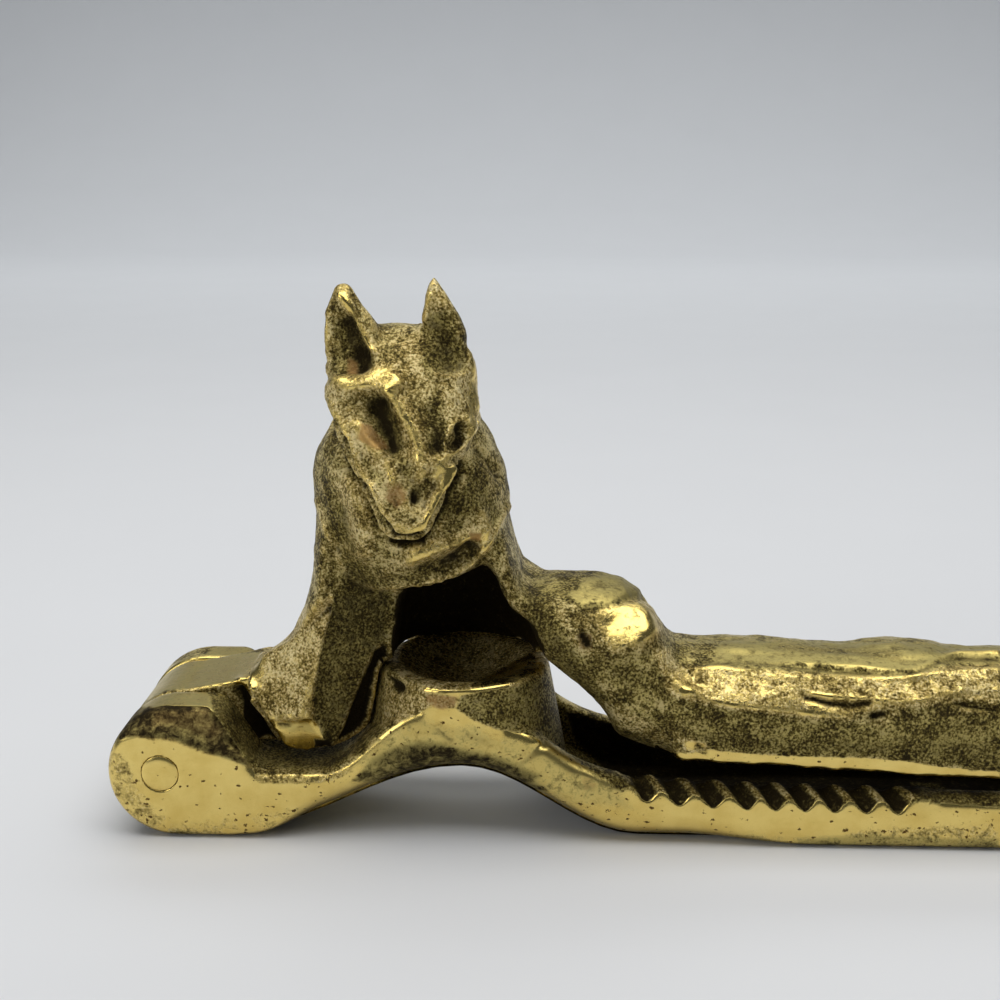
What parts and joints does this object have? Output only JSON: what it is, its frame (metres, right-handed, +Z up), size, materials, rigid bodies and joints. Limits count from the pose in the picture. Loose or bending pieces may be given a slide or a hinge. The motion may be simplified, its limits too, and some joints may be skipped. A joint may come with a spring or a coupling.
{
  "type": "lever nutcracker press",
  "caption": "Cast brass lever nutcracker shaped as a crouching animal whose chest presses a nut into a dished cup on the lower lever.",
  "frame": {"origin": "on the table under the centre of the bounding box of the closed press", "axes": "+Z up, +X from the hinge towards the handle tips, -Y is the side that the animal faces"},
  "size_m": [0.196, 0.0386, 0.0913],
  "materials": {
    "filed_brass": "cast brass with filed and polished side faces, pitted and darkened where it is left rough",
    "cast_brass": "cast brass, worn bright on the high places and dark and grainy in the hollows",
    "rivet_brass": "filed flush and polished"
  },
  "bodies": {
    "base": {"lower_lever": "filed_brass", "hinge_pin": "rivet_brass"},
    "lever": {"upper_lever": "cast_brass"}
  },
  "joints": [
    {"name": "press_hinge", "type": "hinge", "parent": "base", "child": "lever", "pos_m": [-0.089, 0.0028, 0.0115], "axis": [0, -1, 0], "range_deg": [0, 110]}
  ]
}
